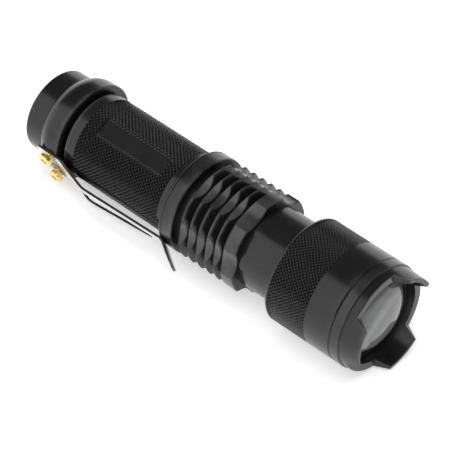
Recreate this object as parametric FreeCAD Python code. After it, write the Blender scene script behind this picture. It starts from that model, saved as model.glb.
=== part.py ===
"""Pocket zoom torch: every piece of the assembly as its own solid.

Frame: +X runs along the torch's axis from the tail to the head, +Z is up, and the
origin is the centre of the flat tail face. Lengths are millimetres. The torch is
stored with its head pulled out. A bearing is an angle about +X, measured from +Y
towards +Z.
"""
import FreeCAD, Part
import math
import os

V = FreeCAD.Vector
ORIGIN = V(0, 0, 0)
AXIS = V(1, 0, 0)

# ---- driving dimensions -------------------------------------------------------
FIT = 0.08                 # radial play of a threaded or sliding fit
SEAT = 0.03                # play between two pieces that are clamped together
EDGE = 0.25                # chamfer of a turned outer edge
SMALL_EDGE = 0.1
BEYOND = 1.0               # how far a cutter passes the face it cuts

# stations along the axis
TAIL_STEP = 5.65           # groove between the tail ring and the clip flange
TAIL_END = 12.3            # front face of the tail cap
TUBE_START = 13.2          # rear shoulder of the battery tube
TUBE_END = 45.2            # front shoulder of the battery tube
COLLAR_END = 49.3          # front edge of the plain collar
FIN_FIRST = 51.8           # middle of the first cooling fin's tip
FIN_PITCH = 2.65
FIN_COUNT = 5
RING_START = 64.7          # rear edge of the wide front rib
RING_END = 68.1            # front face of the wide front rib
NECK_END = 80.5
HEAD_START = 78.3          # rear edge of the focusing sleeve, head pulled out
SEAM = 97.45               # groove between the sleeve and the crown
CROWN_STEP = 100.2         # thin step line on the crown
CROWN_VALLEY = 102.2       # floor of the three scallops between the teeth
CROWN_TIP = 105.6          # flat tips of the three teeth

# radii
TAIL_R = 10.5
FLANGE_REAR_R = 11.0
FLANGE_R = 12.4
TUBE_R = 10.75
COLLAR_R = 12.5
FIN_ROOT_R = 10.6
NECK_R = 10.35
HEAD_R = 13.25
CROWN_R = 12.95
CROWN_TIP_R = 12.7
CELL_R = 7.0
CELL_BORE_R = 7.3
THREAD_R = 8.7             # tail and tube threads, taken at the bore
HEAD_BORE_R = 11.5

# clip
CLIP_BEARING = 202.0
CLIP_SEAT = 11.6           # distance of the flange's milled flat from the axis
CLIP_SHEET = 0.6
CLIP_REAR = 6.3            # rear edge of the clip's foot
CLIP_BASE_HALF = 5.9
CLIP_ROOT = 13.0           # where the arm starts to bend
CLIP_SPLIT = 0.15
CLIP_REACH = 60.0          # a station beyond the clip's tip
CLIP_BENDS = ((13.6, CLIP_SEAT, 4.0), (22.6, 14.05, 6.0), (46.4, 13.05, 3.0))
CLIP_TIP = (53.0, 17.0)
CLIP_PLANFORM = ((CLIP_REAR, 4.9), (7.3, CLIP_BASE_HALF), (12.2, CLIP_BASE_HALF), (16.0, 4.5), (24.0, 4.0),
                 (46.4, 2.2), (51.2, 2.0), (52.8, 1.4), (53.6, 0.5))
CLIP_WINDOW = ((21.4, 1.9), (24.5, 2.0), (42.5, 0.6), (43.2, 0.3))
SCREW_STATION = 9.8
SCREW_OFFSET = 4.05
SCREW_R = 1.0
SCREW_HEAD_R = 1.9
SCREW_HEAD_H = 1.3
SCREW_HEAD_EDGE = 0.6      # rounding of the pan head
SCREW_LENGTH = 2.6
SCREW_CLEARANCE = 0.15
RECESS_LENGTH = 2.2
RECESS_WIDTH = 0.45
RECESS_DEPTH = 0.7

# scallops milled along the fins
SCALLOP_COUNT = 6
SCALLOP_BEARING = 50.0
SCALLOP_DEPTH_R = 11.0     # distance of a scallop's floor from the axis
SCALLOP_TOOL_R = 6.9

# flats milled on the battery tube
PANEL_BEARINGS = (113.5, 293.5)
PANEL_START = 19.7
PANEL_END = 40.2
PANEL_SEAT = 10.13

# crown teeth
TOOTH_COUNT = 3
TOOTH_BEARING = 47.5
TOOTH_TIP_HALF = 21.5      # half the angle of a tooth's flat tip
TOOTH_ROOT_HALF = 29.5     # half the angle of a tooth at its root


# ---- helpers ------------------------------------------------------------------
def turned(points):
    """Solid of revolution about the axis of a closed (station, radius) outline."""
    corners = [V(x, r, 0) for x, r in points]
    face = Part.Face(Part.makePolygon(corners + corners[:1]))
    return face.revolve(ORIGIN, AXIS, 360).removeSplitter()


def rod(radius, start, end):
    """Round bar on the axis."""
    return Part.makeCylinder(radius, end - start, V(start, 0, 0), AXIS)


def ring(inner, outer, start, end):
    """Plain ring on the axis."""
    return rod(outer, start, end).cut(rod(inner, start - 1, end + 1))


def o_ring(station, middle_r, section_r):
    """Rubber ring with a round section."""
    return Part.makeTorus(middle_r, section_r, V(station, 0, 0), AXIS)


def turn(shape, bearing):
    """A copy of a shape turned about the axis from +Y to the given bearing."""
    copy = shape.copy()
    copy.rotate(ORIGIN, AXIS, bearing)
    return copy


def box(x0, x1, y0, y1, z0, z1):
    """Axis-parallel block between two corners."""
    return Part.makeBox(x1 - x0, y1 - y0, z1 - z0, V(x0, y0, z0))


def coil(start, end, radius, wire_r, turns):
    """Round-wire compression spring along the axis, swept one turn at a time."""
    pitch = (end - start - 2 * wire_r) / turns
    helix = Part.makeLongHelix(pitch, pitch * turns, radius)
    helix.rotate(ORIGIN, V(0, 1, 0), 90)
    helix.translate(V(start + wire_r, 0, 0))
    edge = helix.Edges[0]
    first = edge.valueAt(edge.FirstParameter)
    along = edge.tangentAt(edge.FirstParameter)
    section = Part.Wire(Part.makeCircle(wire_r, first, along))
    return Part.Wire(helix.Edges).makePipeShell([section], True, True)


def rounded_corner(centre_x, centre_r, radius, from_deg, to_deg, steps=6):
    """Outline points of a turned corner's arc, angles measured from +X outwards."""
    points = []
    for step in range(steps + 1):
        angle = math.radians(from_deg + (to_deg - from_deg) * step / steps)
        points.append((centre_x + radius * math.cos(angle), centre_r + radius * math.sin(angle)))
    return points


def sheet_profile(path, thickness):
    """Closed outline of a bent strip: the path is its inner face, +Y is outwards."""
    outer = []
    for index, (x, y) in enumerate(path):
        before = path[max(index - 1, 0)]
        after = path[min(index + 1, len(path) - 1)]
        incoming = math.atan2(y - before[1], x - before[0]) if index else None
        outgoing = math.atan2(after[1] - y, after[0] - x) if index < len(path) - 1 else incoming
        incoming = outgoing if incoming is None else incoming
        heading = (incoming + outgoing) / 2
        reach = thickness / math.cos((outgoing - incoming) / 2)
        outer.append((x - reach * math.sin(heading), y + reach * math.cos(heading)))
    return path + outer[::-1]


def bend(corner, before, after, radius, steps=5):
    """Points of the arc of the given radius that rounds one corner of a path."""
    a = V(before[0] - corner[0], before[1] - corner[1], 0).normalize()
    b = V(after[0] - corner[0], after[1] - corner[1], 0).normalize()
    half = math.acos(max(-1.0, min(1.0, a.dot(b)))) / 2
    reach = radius / math.tan(half)
    centre = V(corner[0], corner[1], 0) + (a + b).normalize() * (radius / math.sin(half))
    start = V(corner[0], corner[1], 0) + a * reach - centre
    end = V(corner[0], corner[1], 0) + b * reach - centre
    first = math.atan2(start.y, start.x)
    sweep = (math.atan2(end.y, end.x) - first + math.pi) % (2 * math.pi) - math.pi
    points = []
    for step in range(steps + 1):
        angle = first + sweep * step / steps
        points.append((centre.x + radius * math.cos(angle), centre.y + radius * math.sin(angle)))
    return points


# ---- tail cap, switch and clip ------------------------------------------------
BOOT_BORE_R = 5.3
CAP_CAVITY_R = 7.6
CAP_EDGE = 0.9             # rounding of the tail ring's rear edge
CAP_WALL = 1.4
CAP_GROOVE_R = TAIL_R - 0.3
FLANGE_SWELL = ((7.2, 11.85), (8.4, 12.28), (9.4, FLANGE_R))
BOARD_STEP = 7.0
BOARD_T = 1.2
BOOT_FACE = 0.35
BOOT_FACE_R = 2.9
BOOT_EDGE = 2.0
BOOT_SKIN = 0.8
BOOT_SKIRT = 2.9
BOOT_SKIRT_R = 4.95
BOOT_SKIRT_BORE_R = 4.15
BOOT_RIM_START = CAP_WALL + 0.05
BOOT_RIM_END = 2.3
BOOT_RIM_BORE_R = 5.05
CLAMP_END = 4.6
NOTCH_DEPTH = 1.0          # depth of a spanner notch in a threaded ring
NOTCH_HALF = 0.8


def tail_cap():
    """Tail ring and clip flange in one turned piece, with the flat for the clip."""
    outline = [(0, BOOT_BORE_R)]
    outline += rounded_corner(CAP_EDGE, TAIL_R - CAP_EDGE, CAP_EDGE, 180, 90)
    outline += [(TAIL_STEP - 2 * SMALL_EDGE, TAIL_R), (TAIL_STEP - SMALL_EDGE, CAP_GROOVE_R)]
    outline += [(TAIL_STEP + SMALL_EDGE, CAP_GROOVE_R), (TAIL_STEP + 2 * SMALL_EDGE, FLANGE_REAR_R)]
    outline += [*FLANGE_SWELL, (TAIL_END - EDGE, FLANGE_R), (TAIL_END, FLANGE_R - EDGE)]
    outline += [(TAIL_END, THREAD_R), (BOARD_STEP, THREAD_R), (BOARD_STEP, CAP_CAVITY_R)]
    outline += [(CAP_WALL, CAP_CAVITY_R), (CAP_WALL, BOOT_BORE_R)]
    cap = turned(outline)
    flat = box(TAIL_STEP + SMALL_EDGE, TAIL_END + BEYOND, CLIP_SEAT, FLANGE_R + BEYOND, -FLANGE_R, FLANGE_R)
    cap = cap.cut(turn(flat, CLIP_BEARING))
    for side in (-1, 1):
        cap = cap.cut(turn(screw_hole(SCREW_R + SEAT, 2 * SCREW_LENGTH, side), CLIP_BEARING))
    return cap


def clip_sheet_path():
    """Inner face of the bent clip, from its tail end to its flared tip."""
    corners = [(CLIP_REAR, CLIP_SEAT)] + [(x, y) for x, y, _ in CLIP_BENDS] + [CLIP_TIP]
    path = [corners[0]]
    for index, (_, _, radius) in enumerate(CLIP_BENDS, start=1):
        path += bend(corners[index], corners[index - 1], corners[index + 1], radius)
    return path + [corners[-1]]


def mirrored_prism(edge):
    """Block standing along +Y on an outline given as (station, half width) points."""
    near = [V(x, 0, half) for x, half in edge]
    far = [V(x, 0, -half) for x, half in reversed(edge)]
    outline = near + far
    return Part.Face(Part.makePolygon(outline + outline[:1])).extrude(V(0, CLIP_REACH, 0))


def clip_blank():
    """The whole clip before it is parted at the root of its arm, pointing along +Y."""
    outline = [V(x, y, -CLIP_BASE_HALF) for x, y in sheet_profile(clip_sheet_path(), CLIP_SHEET)]
    sheet = Part.Face(Part.makePolygon(outline + outline[:1])).extrude(V(0, 0, 2 * CLIP_BASE_HALF))
    return sheet.common(mirrored_prism(CLIP_PLANFORM)).cut(mirrored_prism(CLIP_WINDOW))


def clip_slab(start, end):
    """Block that holds every part of the clip between two stations."""
    return box(start, end, 0, CLIP_REACH, -2 * CLIP_BASE_HALF, 2 * CLIP_BASE_HALF)


def screw_hole(radius, depth, side):
    """Drill for one clip screw, reaching the given depth below the flat."""
    foot = V(SCREW_STATION, CLIP_SEAT - depth, side * SCREW_OFFSET)
    return Part.makeCylinder(radius, depth + FLANGE_R, foot, V(0, 1, 0))


def clip_base():
    """The clip's flat foot, with clearance holes for its two screws."""
    foot = clip_blank().common(clip_slab(0, CLIP_ROOT - CLIP_SPLIT / 2))
    for side in (-1, 1):
        foot = foot.cut(screw_hole(SCREW_R + SCREW_CLEARANCE, CLIP_SHEET, side))
    return turn(foot, CLIP_BEARING)


def clip_arm():
    """The clip's springy arm, with its long window and flared tip."""
    arm = clip_blank().common(clip_slab(CLIP_ROOT + CLIP_SPLIT / 2, CLIP_REACH))
    return turn(arm, CLIP_BEARING)


def clip_screws():
    """Two pan-head screws with a cross recess."""
    screws = []
    outwards = V(0, 1, 0)
    recess_floor = CLIP_SEAT + CLIP_SHEET + SCREW_HEAD_H - RECESS_DEPTH
    for side in (-1, 1):
        foot = V(SCREW_STATION, CLIP_SEAT + CLIP_SHEET, side * SCREW_OFFSET)
        head = Part.makeCylinder(SCREW_HEAD_R, SCREW_HEAD_H, foot, outwards)
        head = head.makeFillet(SCREW_HEAD_EDGE, [head.Edges[0]])
        shank = Part.makeCylinder(SCREW_R, SCREW_LENGTH, foot - outwards * SCREW_LENGTH, outwards)
        screw = head.fuse(shank)
        for length, width in ((RECESS_LENGTH, RECESS_WIDTH), (RECESS_WIDTH, RECESS_LENGTH)):
            slot = box(foot.x - length / 2, foot.x + length / 2, recess_floor, CLIP_REACH,
                       foot.z - width / 2, foot.z + width / 2)
            screw = screw.cut(slot)
        screws.append(turn(screw, CLIP_BEARING))
    return Part.makeCompound(screws)


def switch_boot():
    """Moving dome of the rubber boot."""
    middle = BOOT_FACE + BOOT_EDGE
    dome = rounded_corner(middle, BOOT_FACE_R, BOOT_EDGE, 180, 100)
    skirt = [(BOOT_SKIRT, BOOT_SKIRT_R), (BOOT_SKIRT, BOOT_SKIRT_BORE_R), (middle, BOOT_SKIRT_BORE_R - SMALL_EDGE)]
    inner = rounded_corner(middle, BOOT_FACE_R - 3 * SMALL_EDGE, BOOT_EDGE - BOOT_SKIN, 100, 180)
    return turned([(BOOT_FACE, 0)] + dome + skirt + inner + [(BOOT_FACE + BOOT_SKIN, 0)])


def boot_flange():
    """Fixed rim of the same boot, clamped in the tail cap."""
    return ring(BOOT_RIM_BORE_R, CAP_CAVITY_R - SEAT, BOOT_RIM_START, BOOT_RIM_END)


def switch_ring():
    """Threaded ring that clamps the boot, with two spanner notches."""
    body = ring(BOOT_BORE_R, CAP_CAVITY_R - SEAT, BOOT_RIM_END + 0.05, CLAMP_END)
    for bearing in (0, 180):
        notch = box(CLAMP_END - NOTCH_DEPTH, CLAMP_END + BEYOND, BOOT_BORE_R - BEYOND, CAP_CAVITY_R + BEYOND,
                    -NOTCH_HALF, NOTCH_HALF)
        body = body.cut(turn(notch, bearing))
    return body


SWITCH_FRONT = 6.95
SWITCH_REAR = 4.8
SWITCH_HALF_Y = 3.9
SWITCH_HALF_Z = 3.4
SWITCH_NECK_R = 2.8
SWITCH_BORE_R = 2.05
SWITCH_BORE_END = 6.4
PLUNGER_R = 1.9
PLUNGER_START = 1.2
PLUNGER_END = 5.0
PLUNGER_HEAD_R = 2.6
PLUNGER_HEAD_END = 1.9
TAIL_SPRING_END = 13.0
TAIL_SPRING_R = 3.4
TAIL_WIRE_R = 0.4
TAIL_SPRING_TURNS = 4


def switch_housing():
    """Plastic case of the click switch, bored for its plunger."""
    case = box(SWITCH_REAR, SWITCH_FRONT, -SWITCH_HALF_Y, SWITCH_HALF_Y, -SWITCH_HALF_Z, SWITCH_HALF_Z)
    neck_start = SWITCH_REAR - 0.6
    case = case.fuse(rod(SWITCH_NECK_R, neck_start, PLUNGER_END))
    return case.cut(rod(SWITCH_BORE_R, neck_start - BEYOND, SWITCH_BORE_END))


def switch_plunger():
    """Actuator pushed by the boot."""
    head = rod(PLUNGER_HEAD_R, PLUNGER_START, PLUNGER_HEAD_END)
    return rod(PLUNGER_R, PLUNGER_START, PLUNGER_END).fuse(head)


def switch_board():
    """Round circuit board that carries the switch and the tail spring."""
    return rod(THREAD_R - FIT, BOARD_STEP + SEAT, BOARD_STEP + BOARD_T)


def tail_spring():
    """Coil that presses on the cell's negative end."""
    start = BOARD_STEP + BOARD_T + SMALL_EDGE
    return coil(start, TAIL_SPRING_END, TAIL_SPRING_R, TAIL_WIRE_R, TAIL_SPRING_TURNS)


# ---- battery tube and cell ----------------------------------------------------
TUBE_NOSE_REAR = 8.5
TUBE_NOSE_FRONT = 50.2
SEAL_GROOVE_W = 1.1
SEAL_SECTION_R = 0.42
CELL_START = 13.15
CELL_END = 62.0
CELL_EDGE = 0.4
REAR_SEAL_END = 11.9
FRONT_SEAL_START = TUBE_END + 1.0
SHOULDER_DROP = 0.4
PANEL_REACH = 8.0          # half the width of the cutter that mills a flat
WASHER_BORE_R = 3.6
WASHER_T = 0.35
CONTACT_R = 3.4
CONTACT_TOP_R = 2.6
CONTACT_H = 1.4


def battery_tube():
    """Grip tube with a thread and a seal groove at each end and two milled flats."""
    nose_r = THREAD_R - FIT
    groove_r = THREAD_R - 2 * SEAL_SECTION_R - 0.05
    rear_groove = REAR_SEAL_END
    front_groove = FRONT_SEAL_START
    outline = [(TUBE_NOSE_REAR, CELL_BORE_R), (TUBE_NOSE_REAR, nose_r - EDGE), (TUBE_NOSE_REAR + EDGE, nose_r)]
    outline += [(rear_groove - SEAL_GROOVE_W, nose_r), (rear_groove - SEAL_GROOVE_W, groove_r)]
    outline += [(rear_groove, groove_r), (rear_groove, nose_r), (TUBE_START, nose_r)]
    outline += [(TUBE_START, TUBE_R - SHOULDER_DROP), (TUBE_START + EDGE, TUBE_R)]
    outline += [(TUBE_END, TUBE_R), (TUBE_END, nose_r), (front_groove, nose_r), (front_groove, groove_r)]
    outline += [(front_groove + SEAL_GROOVE_W, groove_r), (front_groove + SEAL_GROOVE_W, nose_r)]
    outline += [(TUBE_NOSE_FRONT, nose_r), (TUBE_NOSE_FRONT, CELL_BORE_R)]
    tube = turned(outline)
    for bearing in PANEL_BEARINGS:
        panel = box(PANEL_START, PANEL_END, PANEL_SEAT, TUBE_R + BEYOND, -PANEL_REACH, PANEL_REACH)
        tube = tube.cut(turn(panel, bearing))
    return tube


def tube_seal(rear):
    """O-ring in one of the battery tube's grooves."""
    station = REAR_SEAL_END - SEAL_GROOVE_W / 2 if rear else FRONT_SEAL_START + SEAL_GROOVE_W / 2
    return o_ring(station, THREAD_R - SEAL_SECTION_R - 0.03, SEAL_SECTION_R)


def battery_cell():
    """Rechargeable cell in its printed sleeve."""
    outline = [(CELL_START, 0), (CELL_START, CELL_R - CELL_EDGE), (CELL_START + CELL_EDGE, CELL_R)]
    outline += [(CELL_END - CELL_EDGE, CELL_R), (CELL_END, CELL_R - CELL_EDGE), (CELL_END, 0)]
    return turned(outline)


def battery_washer():
    """Insulating washer round the positive cap."""
    return ring(WASHER_BORE_R, CELL_R - 2 * CELL_EDGE, CELL_END + SEAT, CELL_END + WASHER_T)


def battery_cap():
    """Raised positive contact."""
    outline = [(CELL_END + SEAT, 0), (CELL_END + SEAT, CONTACT_R), (CELL_END + WASHER_T, CONTACT_R)]
    outline += [(CELL_END + WASHER_T, CONTACT_TOP_R + EDGE), (CELL_END + CONTACT_H, CONTACT_TOP_R)]
    return turned(outline + [(CELL_END + CONTACT_H, 0)])


# ---- finned body, driver and light engine -------------------------------------
DRIVER_STEP = 66.5
PILL_BORE_R = 8.1
PILL_FLANGE = 80.6
PILL_FACE = 84.4
FIN_TIP_HALF = 0.15
FIN_ROOT_HALF = 0.1
COLLAR_LINE = TUBE_END + 0.95    # thin turned line round the collar
COLLAR_LINE_DEPTH = 0.12
SCALLOP_CLEAR = 0.2        # the scallops start this far past the collar
DRIVER_SPRING_R = 2.2
DRIVER_WIRE_R = 0.3
DRIVER_SPRING_TURNS = 3
CHIP_SIZE = (1.2, 4.0)
CHIP_RISE = 0.6
COIL_R = 2.1
COIL_H = 2.4
COIL_DROP = 3.2
PILL_REAR = 74.0
PILL_BORE = 6.2
PILL_WEB = 82.0
PILL_GROOVE = (81.9, 83.1)
PILL_GROOVE_DEPTH = 1.1
PILL_SEAL_R = 0.5
WIRE_OFFSET = 4.6
WIRE_R = 0.6
WIRE_HOLE_R = 0.9
STAR_R = 7.6
STAR_T = 1.5
LED_HALF = 1.75
LED_T = 0.7
LED_DOME_R = 1.35
LED_COLLAR_R = 3.9
LED_COLLAR_T = 0.8


def fin_outline():
    """V-shaped fins between the collar and the wide rib, as (station, radius)."""
    points = [(COLLAR_END, COLLAR_R - EDGE), (COLLAR_END + SMALL_EDGE, FIN_ROOT_R)]
    points.append((FIN_FIRST - FIN_PITCH / 2 + FIN_ROOT_HALF, FIN_ROOT_R))
    for index in range(FIN_COUNT):
        middle = FIN_FIRST + index * FIN_PITCH
        points += [(middle - FIN_TIP_HALF, COLLAR_R), (middle + FIN_TIP_HALF, COLLAR_R)]
        root = middle + FIN_PITCH / 2
        if index < FIN_COUNT - 1:
            points += [(root - FIN_ROOT_HALF, FIN_ROOT_R), (root + FIN_ROOT_HALF, FIN_ROOT_R)]
    root = (FIN_FIRST + (FIN_COUNT - 1) * FIN_PITCH + RING_START) / 2
    points += [(root - FIN_ROOT_HALF, FIN_ROOT_R), (root + FIN_ROOT_HALF, FIN_ROOT_R)]
    return points


def heatsink_body():
    """Collar, scalloped cooling fins, front rib and sliding neck in one piece."""
    rear = TUBE_END + SMALL_EDGE
    outline = [(rear, THREAD_R), (rear, COLLAR_R - EDGE), (rear + EDGE, COLLAR_R)]
    outline += [(COLLAR_LINE - SMALL_EDGE, COLLAR_R), (COLLAR_LINE, COLLAR_R - COLLAR_LINE_DEPTH)]
    outline += [(COLLAR_LINE + SMALL_EDGE, COLLAR_R), (COLLAR_END - EDGE, COLLAR_R)] + fin_outline()
    outline += [(RING_START, COLLAR_R), (RING_END - EDGE, COLLAR_R), (RING_END, COLLAR_R - EDGE)]
    outline += [(RING_END, NECK_R), (NECK_END, NECK_R), (NECK_END, PILL_BORE_R)]
    outline += [(DRIVER_STEP, PILL_BORE_R), (DRIVER_STEP, CELL_BORE_R)]
    nose_step = TUBE_NOSE_FRONT + SMALL_EDGE
    outline += [(nose_step, CELL_BORE_R), (nose_step, THREAD_R)]
    body = turned(outline)
    start = COLLAR_END + SCALLOP_CLEAR
    centre = V(start, SCALLOP_DEPTH_R + SCALLOP_TOOL_R, 0)
    cutter = Part.makeCylinder(SCALLOP_TOOL_R, RING_END + BEYOND - start, centre, AXIS)
    for index in range(SCALLOP_COUNT):
        body = body.cut(turn(cutter, SCALLOP_BEARING + index * 360 / SCALLOP_COUNT))
    return body


def driver_board():
    """Round circuit board that feeds the LED."""
    return rod(PILL_BORE_R - FIT, DRIVER_STEP + SEAT, DRIVER_STEP + BOARD_T)


def driver_spring():
    """Coil that presses on the cell's positive cap."""
    start = CELL_END + CONTACT_H + SEAT
    return coil(start, DRIVER_STEP, DRIVER_SPRING_R, DRIVER_WIRE_R, DRIVER_SPRING_TURNS)


def driver_chip():
    """Regulator on the driver board."""
    start = DRIVER_STEP + BOARD_T + SEAT
    height, side = CHIP_SIZE
    return box(start, start + height, -side / 2, side / 2, CHIP_RISE, CHIP_RISE + side)


def driver_coil():
    """Inductor on the driver board."""
    start = DRIVER_STEP + BOARD_T + SEAT
    return Part.makeCylinder(COIL_R, COIL_H, V(start, 0, -COIL_DROP), AXIS)


def pill_seal():
    """O-ring that rubs in the head's bore and holds the focus where it is put."""
    return o_ring(sum(PILL_GROOVE) / 2, HEAD_BORE_R - PILL_SEAL_R - 0.05, PILL_SEAL_R)


def led_pill():
    """Heat slug: screwed into the neck, with the flange that stops the head."""
    shank_r = PILL_BORE_R - FIT
    flange_r = HEAD_BORE_R - FIT
    floor_r = flange_r - PILL_GROOVE_DEPTH
    groove_start, groove_end = PILL_GROOVE
    outline = [(PILL_REAR, PILL_BORE), (PILL_REAR, shank_r), (PILL_FLANGE, shank_r), (PILL_FLANGE, flange_r)]
    outline += [(groove_start, flange_r), (groove_start, floor_r), (groove_end, floor_r), (groove_end, flange_r)]
    outline += [(PILL_FACE, flange_r), (PILL_FACE, 0), (PILL_WEB, 0), (PILL_WEB, PILL_BORE)]
    return turned(outline).cut(wire_holes(PILL_WEB - BEYOND, PILL_FACE + BEYOND))


def wire_holes(start, end):
    """The two drills that the wires pass through, between two stations."""
    drills = []
    for side in (-1, 1):
        drills.append(Part.makeCylinder(WIRE_HOLE_R, end - start, V(start, side * WIRE_OFFSET, 0), AXIS))
    return Part.makeCompound(drills)


def led_star():
    """Aluminium-backed board that the LED is soldered to, notched for its wires."""
    front = PILL_FACE + STAR_T
    return rod(STAR_R, PILL_FACE + SEAT, front).cut(wire_holes(PILL_FACE - BEYOND, front + BEYOND))


def led_package():
    """Square LED base."""
    start = PILL_FACE + STAR_T + SEAT
    return box(start, start + LED_T, -LED_HALF, LED_HALF, -LED_HALF, LED_HALF)


def led_dome():
    """Clear dome over the LED's die."""
    base = PILL_FACE + STAR_T + LED_T + 2 * SEAT
    ball = Part.makeSphere(LED_DOME_R, V(base, 0, 0))
    return ball.common(rod(2 * LED_DOME_R, base, base + 2 * LED_DOME_R))


def led_collar():
    """White insulating ring that centres the LED."""
    start = PILL_FACE + STAR_T + SEAT
    half = LED_HALF + FIT
    window = box(start - BEYOND, start + LED_COLLAR_T + BEYOND, -half, half, -half, half)
    return rod(LED_COLLAR_R, start, start + LED_COLLAR_T).cut(window)


def lead_wire(side):
    """Insulated wire from the driver board to the LED board."""
    start = DRIVER_STEP + BOARD_T + SEAT
    end = PILL_FACE + STAR_T - SMALL_EDGE
    return Part.makeCylinder(WIRE_R, end - start, V(start, side * WIRE_OFFSET, 0), AXIS)


# ---- sliding head -------------------------------------------------------------
SLEEVE_THREAD_R = 12.1
SLEEVE_PLAY = 0.25         # gap round the neck
SLEEVE_EDGE = 1.0          # rounding of the sleeve's rear edge
SLEEVE_THREAD = 94.6
STOP_RING = (79.3, 80.35)
STOP_RING_R = 12.0
STOP_RING_GAP = 3.2
STOP_GROOVE = (79.2, 80.45)
CROWN_LIP = 100.1
CROWN_LIP_R = 10.3
CROWN_TIP_WALL = 0.9
CLAMP_RING = 96.2          # rear face of the ring behind the lens
CLAMP_RING_BORE_R = 9.5
LENS_BACK = 98.5
LENS_R = 10.8
LENS_SHOULDER = 99.3
DOME_R = 9.3
LENS_CLEAR_R = 10.0        # radius inside the seal through which light leaves
DOME_H = 3.7


def head_stop_ring():
    """Split snap ring inside the sleeve that catches the pill's flange."""
    start, end = STOP_RING
    band = ring(NECK_R + SLEEVE_PLAY + 0.05, STOP_RING_R, start, end)
    gap = box(start - BEYOND, end + BEYOND, 0, STOP_RING_R + BEYOND, -STOP_RING_GAP / 2, STOP_RING_GAP / 2)
    return band.cut(turn(gap, 270))


def head_sleeve():
    """Knurled focusing sleeve."""
    outline = [(HEAD_START, NECK_R + SLEEVE_PLAY)]
    outline += rounded_corner(HEAD_START + SLEEVE_EDGE, HEAD_R - SLEEVE_EDGE, SLEEVE_EDGE, 180, 90)
    outline += [(SEAM - EDGE, HEAD_R), (SEAM, HEAD_R - EDGE), (SEAM, SLEEVE_THREAD_R)]
    outline += [(SLEEVE_THREAD, SLEEVE_THREAD_R), (SLEEVE_THREAD, HEAD_BORE_R)]
    groove_start, groove_end = STOP_GROOVE
    groove_r = STOP_RING_R + 0.05
    outline += [(groove_end, HEAD_BORE_R), (groove_end, groove_r), (groove_start, groove_r)]
    outline += [(groove_start, NECK_R + SLEEVE_PLAY)]
    return turned(outline)


def bezel():
    """Crown that holds the lens, with three flat-topped teeth."""
    rear = SLEEVE_THREAD + 2 * SMALL_EDGE
    seam = SEAM + 0.05
    bore_r = LENS_R + 0.05
    outline = [(rear, bore_r), (rear, SLEEVE_THREAD_R - FIT), (seam, SLEEVE_THREAD_R - FIT)]
    outline += [(seam, HEAD_R - EDGE), (seam + EDGE, HEAD_R), (CROWN_STEP - SMALL_EDGE, HEAD_R)]
    outline += [(CROWN_STEP, CROWN_R), (CROWN_TIP - EDGE, CROWN_TIP_R), (CROWN_TIP, CROWN_TIP_R - EDGE)]
    outline += [(CROWN_TIP, CROWN_TIP_R - CROWN_TIP_WALL), (CROWN_STEP + EDGE, CROWN_LIP_R + SMALL_EDGE)]
    outline += [(CROWN_LIP, CROWN_LIP_R), (CROWN_LIP, bore_r)]
    crown = turned(outline)
    step = 360.0 / TOOTH_COUNT
    reach = 2.0 * HEAD_R
    for index in range(TOOTH_COUNT):
        middle = TOOTH_BEARING + (index + 0.5) * step
        low_half = math.radians(step / 2 - TOOTH_ROOT_HALF)
        top_half = math.radians(step / 2 - TOOTH_TIP_HALF)
        sections = []
        for station, half in ((CROWN_VALLEY, low_half), (CROWN_TIP + 0.5, top_half)):
            corners = [V(station, 0, 0)]
            for share in (-1, -0.5, 0, 0.5, 1):
                angle = half * share
                corners.append(V(station, reach * math.cos(angle), reach * math.sin(angle)))
            sections.append(Part.makePolygon(corners + corners[:1]))
        notch = Part.makeLoft(sections, True, True)
        crown = crown.cut(turn(notch, middle))
    return crown


def lens_seal():
    """Soft ring between the lens and the crown's lip."""
    return ring(LENS_CLEAR_R, LENS_R, LENS_SHOULDER + SEAT, CROWN_LIP - SEAT)


def lens():
    """Convex focusing lens: a rim and an elliptical dome."""
    outline = [(LENS_BACK, 0), (LENS_BACK, LENS_R), (LENS_SHOULDER, LENS_R), (LENS_SHOULDER, DOME_R)]
    steps = 14
    for step in range(1, steps):
        angle = math.pi / 2 * step / steps
        outline.append((LENS_SHOULDER + DOME_H * math.sin(angle), DOME_R * math.cos(angle)))
    return turned(outline + [(LENS_SHOULDER + DOME_H, 0)])


def lens_ring():
    """Threaded ring that clamps the lens from behind, with two spanner notches."""
    body = ring(CLAMP_RING_BORE_R, LENS_R - FIT, CLAMP_RING, LENS_BACK - SEAT)
    for bearing in (0, 180):
        notch = box(CLAMP_RING - BEYOND, CLAMP_RING + NOTCH_DEPTH, CLAMP_RING_BORE_R - BEYOND, LENS_R + BEYOND,
                    -NOTCH_HALF, NOTCH_HALF)
        body = body.cut(turn(notch, bearing))
    return body


NODES = {
    "tail_cap": tail_cap, "clip_base": clip_base, "clip_arm": clip_arm, "clip_screws": clip_screws,
    "boot_flange": boot_flange, "switch_boot": switch_boot, "switch_ring": switch_ring,
    "switch_housing": switch_housing, "switch_plunger": switch_plunger, "switch_board": switch_board,
    "tail_spring": tail_spring, "battery_tube": battery_tube, "battery_cell": battery_cell,
    "battery_washer": battery_washer, "battery_cap": battery_cap, "heatsink_body": heatsink_body,
    "driver_board": driver_board, "driver_spring": driver_spring, "driver_chip": driver_chip,
    "driver_coil": driver_coil, "led_pill": led_pill, "pill_seal": pill_seal, "led_star": led_star,
    "led_package": led_package, "led_dome": led_dome, "led_collar": led_collar,
    "head_stop_ring": head_stop_ring, "head_sleeve": head_sleeve, "bezel": bezel, "lens": lens,
    "lens_seal": lens_seal, "lens_ring": lens_ring,
}


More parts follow.
